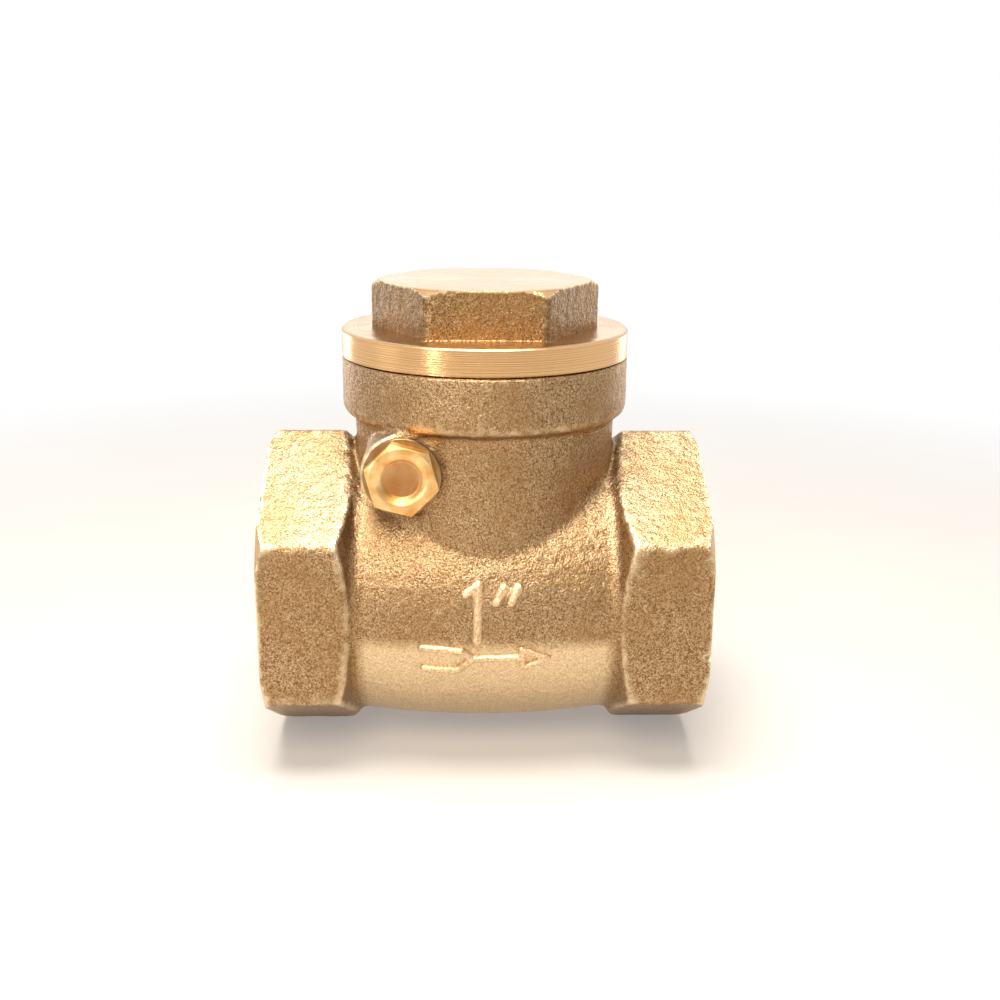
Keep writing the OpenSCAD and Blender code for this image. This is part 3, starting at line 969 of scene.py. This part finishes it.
    def finish_of(self, centre: Vector, normal: Vector) -> int:
        """Tells how a face was made.

        Args:
            centre: the face's centre.
            normal: its normal.

        Returns:
            The finish's place in dress: 0 as cast, 1 and 2 turned, 3 as cast inside.
        """
        from_end = min(centre.x, self.length - centre.x)
        bore = math.hypot(centre.y, centre.z)
        neck = math.hypot(centre.x - self.middle, centre.y)
        if from_end < 0.02 or (bore < self.socket_radius and from_end < self.socket_depth):
            return 1
        if abs(from_end - self.face_slope * (bore - self.face_radius)) < 0.06 and abs(normal.x) > 0.78:
            return 1
        if centre.z > self.recess_floor and neck < self.recess_radius or centre.z > JOINT_Z - 0.01:
            return 2
        inside = bore < self.chamber_bore or (neck < self.chamber_neck and centre.z > 0)
        return 3 if inside or centre.z > JOINT_Z - 0.35 else 0


@dataclass
class CastMarks:
    """The marks that stand up from the front of the barrel: a plain size number and the flow arrow."""

    casting: CastBody
    height: float = 0.68
    sunk: float = 0.06
    voxel: float = 0.13
    figure: tuple[Stroke, ...] = (
        (0.74, 0.8, ((28.25, 4.75), (29.0, 5.35), (29.95, 5.9))),
        (0.76, 0.76, ((29.95, 5.9), (29.87, -1.7))))
    ticks: tuple[Stroke, ...] = (
        (0.92, 0.62, ((33.35, 5.5), (32.75, 4.5), (32.35, 3.6))),
        (0.92, 0.62, ((35.3, 5.5), (34.75, 4.5), (34.4, 3.6))))
    arrow: tuple[Stroke, ...] = (
        (0.56, 0.56, ((22.2, -3.0), (25.4, -3.2), (27.6, -3.45), (29.0, -4.5))),
        (0.56, 0.56, ((22.5, -6.2), (24.7, -6.45), (27.1, -6.5), (29.0, -4.8))),
        (0.54, 0.54, ((28.9, -4.62), (35.9, -4.4))),
        (0.46, 0.46, ((35.9, -3.15), (39.6, -4.6), (36.1, -6.05), (35.9, -3.15))))

    def on_barrel(self, x: float, z: float, sunk: float) -> Vector:
        """Finds the point of the barrel's front at a station and height.

        Args:
            x: the station along the flow.
            z: the height.
            sunk: how far the point lies under the barrel's skin.

        Returns:
            The point, in millimetres.
        """
        outward = Vector((0.0, -math.sqrt(self.casting.barrel_radius(x) ** 2 - z * z), z))
        return Vector((x, 0.0, 0.0)) + outward * (1 - sunk / outward.length)

    def line(self, stroke: Stroke) -> list[Object]:
        """Makes a raised rounded line.

        Args:
            stroke: its half width at its first and last point, and its points as station and height.

        Returns:
            The balls and cones that it is made of.
        """
        first, last, path = stroke
        sizes = [first + (last - first) * i / (len(path) - 1) for i in range(len(path))]
        points = [self.on_barrel(x, z, r + self.sunk - self.height) for (x, z), r in zip(path, sizes)]
        parts = []
        for point, size in zip(points, sizes):
            ball = bmesh.new()
            bmesh.ops.create_icosphere(ball, subdivisions=3, radius=size)
            parts.append(to_object(laid(ball, Matrix.Translation(point)), "stroke"))
        for a, b, low, high in zip(points, points[1:], sizes, sizes[1:]):
            cone = bmesh.new()
            bmesh.ops.create_cone(cone, cap_ends=True, segments=24, radius1=low, radius2=high,
                                  depth=(b - a).length)
            turn = (b - a).to_track_quat("Z", "Y").to_matrix().to_4x4()
            parts.append(to_object(laid(cone, Matrix.Translation((a + b) / 2) @ turn), "stroke"))
        return parts

    def build(self) -> Object:
        """Builds every mark as one skin, in millimetres."""
        parts = [part for stroke in self.figure + self.ticks + self.arrow for part in self.line(stroke)]
        marks = fuse(parts, "raised_marks", self.voxel)
        reshape(marks, self.soften)
        return marks

    def soften(self, shape: BMesh) -> None:
        """Rounds the fused marks and leaves them uneven."""
        relax(shape, 4)
        sink(shape, lambda p: -0.05 * noise.noise(p * 1.6))

    def dress(self, marks: Object, cast: Material) -> None:
        """Gives the marks the casting's finish."""
        place(marks, "valve_body", [cast])


@dataclass
class PipeThread:
    """The crests of one socket's pipe thread, wound on the plain bore that the solids hold."""

    pitch: float = 2.309
    root: float = 16.62
    crest: float = 15.16
    depth: float = 12.6
    chamfer: float = 0.4
    sunk: float = 0.12
    steps: int = 96

    def build(self, name: str, far_end: float | None = None) -> Object:
        """Builds a thread, in millimetres.

        Args:
            name: the piece's name.
            far_end: the outlet's station for its thread. Without it the thread is the inlet's.

        Returns:
            The thread, as a closed mesh.
        """
        turns = math.ceil(self.depth / self.pitch) + 2
        shape = bmesh.new()
        flank = self.pitch * 0.47
        crown = self.pitch * 0.09
        foot, shoulder = self.root + self.sunk, self.crest + self.sunk
        section = [(foot, -flank), (shoulder, -crown), (self.crest, -crown * 0.4),
                   (self.crest, crown * 0.4), (shoulder, crown), (foot, flank)]
        corners = [shape.verts.new((r, 0.0, z - 1.5 * self.pitch)) for r, z in section]
        profile = shape.faces.new(corners)
        bmesh.ops.spin(shape, geom=[profile, *profile.edges, *profile.verts], cent=(0, 0, 0), axis=(0, 0, 1),
                       angle=2 * math.pi * turns, steps=self.steps * turns,
                       dvec=(0, 0, self.pitch / self.steps), use_merge=False)
        bmesh.ops.recalc_face_normals(shape, faces=shape.faces[:])
        thread = to_object(laid(shape, ALONG_FLOW), name)
        wide = self.root + 0.11
        lead = self.root + self.chamfer
        keep = [(self.crest - 1, lead - self.crest + 1), (wide, lead - wide), (wide, self.depth),
                (self.crest - 1, self.depth - 1.5)]
        carve(thread, turned(keep, "trim", ALONG_FLOW, 192), Solver.KEEP)
        if far_end is not None:
            thread.data.transform(Matrix.Translation((far_end, 0, 0)) @ Matrix.Rotation(math.pi, 4, "Z"))
        return thread

    def dress(self, thread: Object, finish: Material) -> None:
        """Gives the thread the finish of its socket."""
        place(thread, "valve_body", [finish])


@dataclass
class ScrewedCap:
    """The cap: a cast hexagon with a turned top, and the turned flange and skirt under it."""

    flange_height: float = 4.0
    flats: float = 28.2
    hex_height: float = 6.6
    corner: float = 1.0
    top_radius: float = 14.7
    slope: float = 30.0
    roof: float = 3.6
    roof_radius: float = 9.4
    hollow_radius: float = 12.6
    flats_start: float = 13.6
    voxel: float = 0.25

    @property
    def foot(self) -> float:
        """Height of the hexagon's foot."""
        return JOINT_Z + self.flange_height

    @property
    def top(self) -> float:
        """Height of the turned top."""
        return self.foot + self.hex_height

    def soften(self, shape: BMesh) -> None:
        """Rounds the hexagon's cast corners and leaves its flats uneven."""
        relax(shape, 3)
        sink(shape, lambda p: 0.03 + 0.05 * noise.noise(p * 0.5))

    def build(self) -> Object:
        """Builds the cap, in millimetres."""
        point = corner_radius(self.flats)
        shape = round_corners(prism(6, point, self.hex_height + 4, self.foot - 2, 30), self.corner)
        cap = fuse([to_object(shape, "hexagon")], "cap_turned", self.voxel)
        reshape(cap, self.soften)
        wide = point + 1
        drop = (wide - self.top_radius) * math.tan(math.radians(self.slope))
        upper = [(0, self.foot - 0.6), (wide, self.foot - 0.6), (wide, self.top - drop),
                 (self.top_radius + 0.15, self.top - 0.07), (self.top_radius - 0.1, self.top), (0, self.top)]
        carve(cap, turned(upper, "turned top", steps=240), Solver.KEEP)
        cap.data.transform(UNDER_CAP)
        flange = cad_copy("cap", "flange")
        below, clear = JOINT_Z - 12, 30
        lower = [(0, below), (clear, below), (clear, self.foot), (0, self.foot)]
        carve(flange, turned(lower, "below hexagon", UNDER_CAP), Solver.KEEP)
        roof = self.top - self.roof
        inner = [(0, self.foot - 2), (self.hollow_radius, self.foot - 2), (self.hollow_radius, self.foot),
                 (self.roof_radius, roof), (0, roof)]
        carve(cap, turned(inner, "roof", UNDER_CAP), Solver.CUT)
        reshape(cap, mark_wear)
        carve(cap, flange, Solver.JOIN)
        return cap

    def dress(self, cap: Object, finishes: Sequence[Material]) -> None:
        """Gives the hexagon's flats the cast finish and everything else the turned one.

        Args:
            cap: the cap.
            finishes: as cast and turned.
        """
        for face in cap.data.polygons:
            flat = face.center.z > self.foot + 0.01 and face.normal.z < 0.45
            outside = math.hypot(face.center.x - CAP_X, face.center.y) > self.flats_start
            face.material_index = 0 if flat and outside else 1
        place(cap, "valve_body", finishes, "cap", 20.0)


@dataclass
class PinPlug:
    """The hexagonal plug that closes the hinge pin's hole: collar, head and a soft pressed dish."""

    seat: float = 16.9
    seal: float = 0.5
    collar: float = 0.5
    head: float = 1.9
    flats: float = 8.9
    collar_radius: float = 5.25
    shank_radius: float = 2.92
    shank: float = 5.6
    turn: float = 45.0
    dish_radius: float = 3.45
    dish_floor: float = 2.5
    dish_depth: float = 0.75

    def build(self) -> Object:
        """Builds the plug, in millimetres."""
        foot = self.seat + self.seal
        top = foot + self.collar + self.head
        point = corner_radius(self.flats)
        shape = prism(6, point, self.collar + self.head, foot, self.turn - 90)
        plug = to_object(ease(shape, 0.1), "pin_plug_turned")
        wide = point + 0.4
        crown = [(0, foot - 1), (wide, foot - 1), (wide, top - 0.36), (self.flats / 2, top - 0.05),
                 (self.flats / 2 - 0.15, top), (0, top)]
        carve(plug, turned(crown, "crown", steps=192), Solver.KEEP)
        floor = top - self.dish_depth
        dish = [(0, floor), (self.dish_floor * 0.6, floor + 0.03), (self.dish_floor - 0.15, floor + 0.09),
                (self.dish_floor + 0.1, floor + 0.2), (self.dish_floor + 0.3, floor + 0.38)]
        lip = [(self.dish_radius - 0.25, top - 0.13), (self.dish_radius, top - 0.04),
               (self.dish_radius + 0.3, top + 0.02), (self.dish_radius + 0.3, top + 1), (0, top + 1)]
        carve(plug, turned(dish + lip, "dish", steps=192), Solver.CUT)
        collar = washer(self.collar_radius, 1.0, foot, foot + self.collar, 0.14)
        low, high = self.seat - self.shank, foot + 0.3
        wide = self.shank_radius
        shank = ease(revolve([(0, low), (wide, low), (wide, high), (0, high)], 96), 0.3)
        carve(plug, to_object(collar, "collar"), Solver.JOIN)
        carve(plug, to_object(shank, "shank"), Solver.JOIN)
        plug.data.transform(ON_PLUG)
        return plug

    def dress(self, plug: Object, polished: Material) -> None:
        """Gives the plug its finish in the place of the plain solid."""
        place(plug, "valve_body", [polished], "pin_plug", 16.0)


@dataclass
class HingedDisc:
    """The disc and what is stacked on its stud, in stations along the seat's axis from the seat's face."""

    bore: float = 2.52
    disc_radius: float = 12.6
    rim: float = 3.3
    hub_radius: float = 5.0
    back: float = 4.0
    facing_radius: float = 12.4
    facing: float = 2.0
    seal_radius: float = 8.8
    seal: float = 1.2
    head_radius: float = 4.2
    head: float = 2.0
    slot_width: float = 1.0
    slot_depth: float = 0.9
    stud: float = 2.5
    stud_end: float = 11.9
    stud_pitch: float = 0.8
    washer_face: float = 7.3
    washer_radius: float = 4.6
    nut_face: float = 8.1
    nut: float = 3.0
    nut_flats: float = 8.0

    def ring(self, name: str, outer: float, low: float, high: float, edge: float) -> Object:
        """Makes a ring on the stud, from its outer radius, its two stations and the rounding of its edges."""
        return to_object(washer(outer, self.bore, low, high, edge), name)

    def screw(self) -> Object:
        """Makes the slotted screw, with thread grooves where its stud shows."""
        low = -self.seal - self.head
        wide = self.head_radius
        outline = [(0, low), (wide, low), (wide, -self.seal), (self.stud, -self.seal),
                   (self.stud, self.nut_face)]
        height = self.nut_face
        while height < self.stud_end - 0.5:
            outline.append((self.stud - 0.32, height + self.stud_pitch / 2))
            height += self.stud_pitch
            outline.append((self.stud, height))
        outline += [(self.stud - 0.35, self.stud_end), (0, self.stud_end)]
        screw = turned(outline, "disc_screw_turned", steps=96)
        dome = [(0, low), (wide - 0.6, low), (wide - 0.2, low + 0.16), (wide, low + 0.5), (wide, 0),
                (wide, 20), (0, 20)]
        carve(screw, turned(dome, "dome", steps=96), Solver.KEEP)
        slot = bmesh.new()
        bmesh.ops.create_cube(slot, size=1.0)
        bmesh.ops.scale(slot, vec=(12, self.slot_width, 2 * self.slot_depth), verts=slot.verts[:])
        bmesh.ops.translate(slot, vec=(0, 0, low), verts=slot.verts[:])
        carve(screw, to_object(slot, "slot"), Solver.CUT)
        return screw

    def hexagon_nut(self) -> Object:
        """Makes the nut, with its corners turned off at both ends."""
        point = corner_radius(self.nut_flats)
        nut = to_object(ease(prism(6, point, self.nut, self.nut_face, 30), 0.08), "disc_nut_turned")
        low, high = self.nut_face, self.nut_face + self.nut
        flat, wide, lead = self.nut_flats / 2, point + 0.5, 0.35
        slope = (wide - flat) * math.tan(math.radians(30))
        crown = [(self.bore + lead, low), (flat, low), (wide, low + slope), (wide, high - slope),
                 (flat, high), (self.bore + lead, high), (self.bore, high - lead), (self.bore, low + lead)]
        carve(nut, turned(crown, "crown", steps=120), Solver.KEEP)
        return nut

    def build(self) -> dict[str, Object]:
        """Builds the stack, in millimetres, by the solid that each piece stands for."""
        hub = [(self.bore, self.facing), (self.disc_radius, self.facing), (self.disc_radius, self.rim),
               (self.hub_radius + 1.3, self.rim), (self.hub_radius, self.back), (self.bore, self.back)]
        stack = {
            "disc": to_object(ease(revolve(hub), 0.22), "disc_turned"),
            "disc_facing": self.ring("disc_facing_rubber", self.facing_radius, 0.0, self.facing, 0.3),
            "seal_washer": self.ring("seal_washer_turned", self.seal_radius, -self.seal, 0.0, 0.2),
            "disc_screw": self.screw(),
            "nut_washer": self.ring("nut_washer_turned", self.washer_radius, self.washer_face,
                                    self.nut_face, 0.14),
            "disc_nut": self.hexagon_nut(),
        }
        for piece in stack.values():
            piece.data.transform(ON_SEAT)
        return stack

    def dress(self, stack: dict[str, Object], finish: Material,
              rubber: Material) -> None:
        """Gives the facing its rubber and the rest the turned finish.

        Args:
            stack: the pieces, by the solid that each stands for.
            finish: the finish of what was turned about the seat's axis.
            rubber: the facing's finish.
        """
        for node, piece in stack.items():
            slot, material = ("rubber", rubber) if node == "disc_facing" else ("turned_brass", finish)
            place(piece, "disc", [material], node)


@dataclass
class HingeArm:
    """The cast arm that hangs on the pin and carries the disc."""

    pin_bore: float = 1.56
    stud_bore: float = 2.58
    voxel: float = 0.17

    def soften(self, shape: BMesh) -> None:
        """Rounds the arm's edges and leaves its skin uneven."""
        relax(shape, 5)
        sink(shape, lambda p: 0.03 + 0.04 * noise.noise(p * 1.1))

    def build(self) -> Object:
        """Builds the arm, in millimetres."""
        arm = fuse([cad_copy("hinge_arm", "arm")], "hinge_arm_cast", self.voxel)
        reshape(arm, self.soften)
        carve(arm, to_object(laid(prism(64, self.pin_bore, 16, -8), ON_PLUG), "pin bore"), Solver.CUT)
        carve(arm, to_object(laid(prism(64, self.stud_bore, 10, 1), ON_SEAT), "stud bore"), Solver.CUT)
        reshape(arm, mark_wear)
        return arm

    def dress(self, arm: Object, cast: Material) -> None:
        """Gives the arm its finish in the place of the plain solid."""
        place(arm, "arm", [cast], "hinge_arm")


@dataclass
class PlainPieces:
    """The pieces whose solids already have their whole shape, and need only their finish."""

    finishes: dict[str, Material]

    def dress(self) -> None:
        """Gives each solid that stays its finish."""
        for node, finish in self.finishes.items():
            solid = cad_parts[node]
            solid.data.materials.clear()
            solid.data.materials.append(finish)
            LOG.info("%s: dressed in %s", node, finish.name)


@dataclass(frozen=True)
class Lamp:
    """A soft oval lamp, aimed at the valve. Its level is what it alone lends a white matt surface."""

    name: str
    spot: tuple[float, float, float]
    size: float
    level: float
    colour: str
    tall: float = 1.0


@dataclass
class Studio:
    """Camera, lamps, floor and background."""

    eye: tuple[float, float, float] = (28.19, -176.08, 64.19)
    target: tuple[float, float, float] = (33.36, 0.0, 12.21)
    roll: float = 0.498
    lens: float = 44.48
    aim: tuple[float, float, float] = (CAP_X, 0.0, 8.0)
    floor_z: float = -22.95
    floor_size: float = 2500.0
    mottle_mm: float = 60.0
    fade_mm: tuple[float, float] = (100.0, 270.0)
    lift: float = 0.25
    room: float = 0.3
    lamps: tuple[Lamp, ...] = (
        Lamp("overhead", (10.0, -40.0, 330.0), 240.0, 2.15, "#F8FBFF"),
        Lamp("front above", (0.0, -230.0, 190.0), 150.0, 0.74, "#FFFAF2"),
        Lamp("behind", (31.0, 330.0, 190.0), 260.0, 0.06, "#F6FAFF"),
        Lamp("front left", (-170.0, -250.0, 85.0), 26.0, 0.17, "#FFFAF4", 7.0),
        Lamp("left", (-300.0, -60.0, 90.0), 170.0, 0.06, "#FFF8F0"),
        Lamp("behind left", (-190.0, 260.0, 15.0), 100.0, 0.12, "#FFFAF4"),
        Lamp("behind right", (255.0, 260.0, 15.0), 100.0, 0.09, "#FFFAF4"),
    )

    def camera(self) -> None:
        """Sets the camera where the photograph was taken from."""
        data = bpy.data.cameras.new("camera")
        data.lens = self.lens
        data.sensor_width = 36.0
        data.clip_start = 0.01
        made = new_object("camera", data)
        look = Vector(self.target) - Vector(self.eye)
        turn = look.to_track_quat("-Z", "Y").to_matrix() @ Matrix.Rotation(math.radians(self.roll), 3, "Z")
        made.matrix_world = Matrix.Translation(Vector(self.eye) * MM) @ turn.to_4x4()
        bpy.context.scene.camera = made

    def light(self) -> None:
        """Hangs the soft lamps."""
        for lamp in self.lamps:
            data = bpy.data.lights.new(lamp.name, "AREA")
            data.shape = "ELLIPSE"
            data.size = lamp.size * MM
            data.size_y = lamp.size * lamp.tall * MM
            data.color = linear(lamp.colour)[:3]
            away = Vector(lamp.spot) - Vector(self.aim)
            data.energy = lamp.level * (math.pi * away.length * MM) ** 2
            made = new_object(lamp.name, data)
            turn = (-away).to_track_quat("-Z", "Y").to_matrix().to_4x4()
            made.matrix_world = Matrix.Translation(Vector(lamp.spot) * MM) @ turn

    def background(self) -> None:
        """Lights the room softly, dimmer from the front, and shows it white behind the valve."""
        world = bpy.data.worlds.new("room")
        bpy.context.scene.world = world
        world.use_nodes = True
        world.node_tree.nodes.clear()
        add = partial(add_node, world.node_tree)
        axes = add("SeparateXYZ", {0: add("TexCoord", output="Generated")}).node.outputs
        level = add("MapRange", {0: axes["Y"], 1: -0.75, 2: 0.05, 3: 0.05})
        path = add("LightPath").node.outputs
        seen = add("Math", {0: path["Is Camera Ray"], 1: path["Is Transmission Ray"]}, operation="MAXIMUM")
        glossy = add("Math", {0: path["Is Glossy Ray"], 1: level}, operation="MULTIPLY")
        shown = add("Math", {0: seen, 1: glossy}, operation="MAXIMUM")
        room = add("Background", {0: linear("#FFF3E2"), 1: self.room})
        white = add("Background", {0: WHITE, 1: 1.0})
        add("OutputWorld", {0: add("MixShader", {0: shown, 1: room, 2: white})})

    def floor(self) -> None:
        """Lays the pale floor that the valve stands on, which fades to white away from it."""
        shape = bmesh.new()
        bmesh.ops.create_grid(shape, x_segments=1, y_segments=1, size=self.floor_size)
        bmesh.ops.translate(shape, verts=shape.verts[:], vec=(CAP_X, 0.0, self.floor_z))
        made = to_object(shape, "floor")
        made.data.transform(TO_METRES)
        material, add = new_material("matt_white_card")
        where = add("TexCoord", output="Object")
        mottle = add("TexNoise", {"Vector": where, "Scale": per_metre(self.mottle_mm)})
        colour = add("Mix", {0: mottle, 6: linear("#B2A89B"), 7: linear("#B9B0A5")}, **COLOURS)
        under = (CAP_X * MM, 0.0, self.floor_z * MM)
        reach = add("VectorMath", {0: where, 1: under}, 1, operation="DISTANCE")
        near, far = (mm * MM for mm in self.fade_mm)
        path = add("LightPath").node.outputs
        seen = add("Math", {0: path["Is Camera Ray"], 1: path["Is Glossy Ray"]}, operation="MAXIMUM")
        shown = add("Math", {0: seen, 1: path["Is Transmission Ray"]}, operation="MAXIMUM")
        strength = add("Math", {0: shown, 1: self.lift}, operation="MULTIPLY")
        glow = add("Emission", {0: WHITE, 1: strength})
        card = add("AddShader", {0: add("BsdfDiffuse", {0: colour}), 1: glow})
        away = add("MapRange", {0: reach, 1: near, 2: far})
        faded = add("Math", {0: shown, 1: away}, operation="MULTIPLY")
        white = add("Emission", {0: WHITE, 1: 1.0})
        add("OutputMaterial", {0: add("MixShader", {0: faded, 1: card, 2: white})})
        made.data.materials.append(material)

    def build(self) -> None:
        """Builds the whole studio."""
        self.camera()
        self.light()
        self.background()
        self.floor()
        bpy.context.scene.view_settings.view_transform = "Standard"


def main() -> None:
    """Builds, dresses and places every piece in order."""
    logging.basicConfig(level=logging.INFO, format="%(name)s %(message)s")
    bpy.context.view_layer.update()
    cast = SandCastBrass().material()
    barrel = SandCastBrass("sand_cast_brass_barrel", joint_mm=-2.4).material()
    inside = SandCastBrass("sand_cast_brass_inside", rub=0.0).material()
    pale = SandCastBrass("sand_cast_brass_marks", bright="#FAE8C8", pit="#CFA46C").material()
    dull = SandCastBrass("sand_cast_brass_cap", bright="#AC8C62", pit="#5C4126").material()
    flow = TurnedBrass(Lathe.FLOW).material()
    about_cap = TurnedBrass(Lathe.CAP).material()
    about_seat = TurnedBrass(Lathe.SEAT).material()
    polished = PolishedBrass().material()
    rubber = MouldedRubber().material()
    fibre = PressedFibre().material()

    casting = CastBody()
    casting.dress(casting.build(), [barrel, flow, about_cap, inside])
    marks = CastMarks(casting)
    marks.dress(marks.build(), pale)
    thread = PipeThread()
    thread.dress(thread.build("inlet_thread_crests"), flow)
    thread.dress(thread.build("outlet_thread_crests", casting.length), flow)
    cap = ScrewedCap()
    cap.dress(cap.build(), [dull, about_cap])
    plug = PinPlug()
    plug.dress(plug.build(), polished)
    arm = HingeArm()
    arm.dress(arm.build(), cast)
    disc = HingedDisc()
    disc.dress(disc.build(), about_seat, rubber)
    PlainPieces({"cap_gasket": fibre, "hinge_pin": polished, "plug_seal": fibre}).dress()
    Studio().build()


if __name__ == "__main__":
    main()
